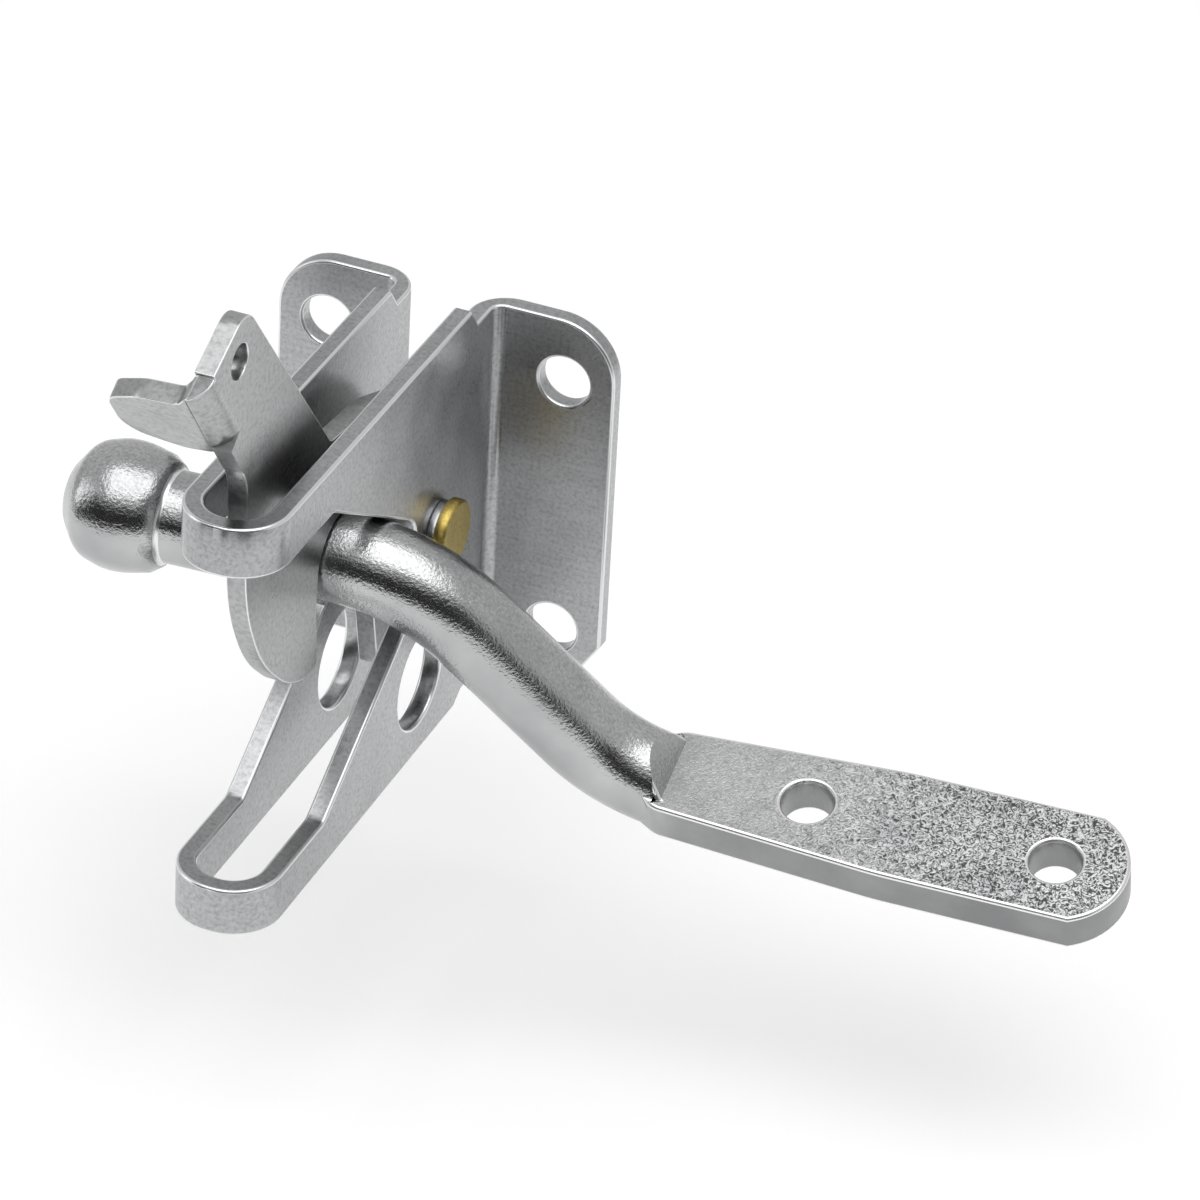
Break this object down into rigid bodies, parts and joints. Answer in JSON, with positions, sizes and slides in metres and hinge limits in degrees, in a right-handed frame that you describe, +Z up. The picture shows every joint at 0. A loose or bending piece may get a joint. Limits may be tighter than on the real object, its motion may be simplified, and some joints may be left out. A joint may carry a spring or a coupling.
{
  "type": "gate latch",
  "caption": "Gate latch: folded steel case with a throat, a gravity hook arm on a rivet, and a bent round strike bar with a knob and a drilled flat.",
  "frame": {"origin": "middle of the four flange bolt holes, on the back of the flanges (the post plane)", "axes": "+X to the right seen from the front, +Y into the post, +Z up"},
  "size_m": [0.1457, 0.0812, 0.091],
  "materials": {
    "case_zinc": "bright zinc plate, satin",
    "arm_zinc": "bright zinc plate, satin",
    "bar_zinc": "bright zinc plate on forged bar",
    "rivet_brass": "yellow passivated",
    "washer_steel": "turned steel"
  },
  "bodies": {
    "case": {"latch_case": "case_zinc", "pivot_rivet": "rivet_brass", "rivet_washer": "washer_steel", "spacer_left": "washer_steel", "spacer_right": "washer_steel", "strike_bar": "bar_zinc"},
    "arm": {"latch_arm": "arm_zinc"}
  },
  "joints": [
    {"name": "arm_pivot", "type": "hinge", "parent": "case", "child": "arm", "pos_m": [0, -0.02, 0.003], "axis": [-1, 0, 0], "range_deg": [0, 45]}
  ]
}
